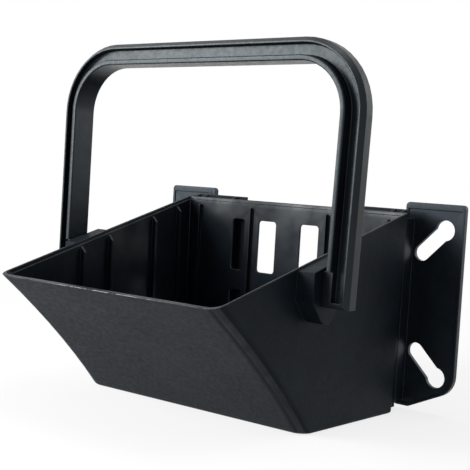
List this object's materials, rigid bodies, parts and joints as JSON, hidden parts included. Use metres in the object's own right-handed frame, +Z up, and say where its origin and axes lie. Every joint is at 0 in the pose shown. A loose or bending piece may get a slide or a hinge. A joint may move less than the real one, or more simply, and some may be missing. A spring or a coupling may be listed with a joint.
{
  "type": "tool storage caddy",
  "caption": "Open-topped tool bin with a scoop front, a swinging carrying handle and keyhole plates at the back for hanging it on a wall.",
  "frame": {"origin": "floor level of the bin, on the rear face of its back wall, at mid-width", "axes": "+X to the right of a person facing the scoop front from outside looking to the rear, +Y to the rear towards the wall, +Z up"},
  "size_m": [0.374, 0.303, 0.3434],
  "materials": {
    "bin_plastic": "black moulded polypropylene, fine texture outside, smoother inside",
    "handle_plastic": "black moulded polypropylene, satin, rounded edges",
    "plate_plastic": "black moulded polypropylene, fine texture",
    "zinc_steel": "zinc-plated steel"
  },
  "bodies": {
    "caddy": {"bin": "bin_plastic", "mounting_plate_left": "plate_plastic", "mounting_plate_right": "plate_plastic", "plate_screws_left": "zinc_steel", "plate_screws_right": "zinc_steel"},
    "handle": {"handle": "handle_plastic"}
  },
  "joints": [
    {"name": "handle_swing", "type": "hinge", "parent": "caddy", "child": "handle", "pos_m": [0, -0.151, 0.131], "axis": [1, 0, 0], "range_deg": [-58, 118]}
  ]
}
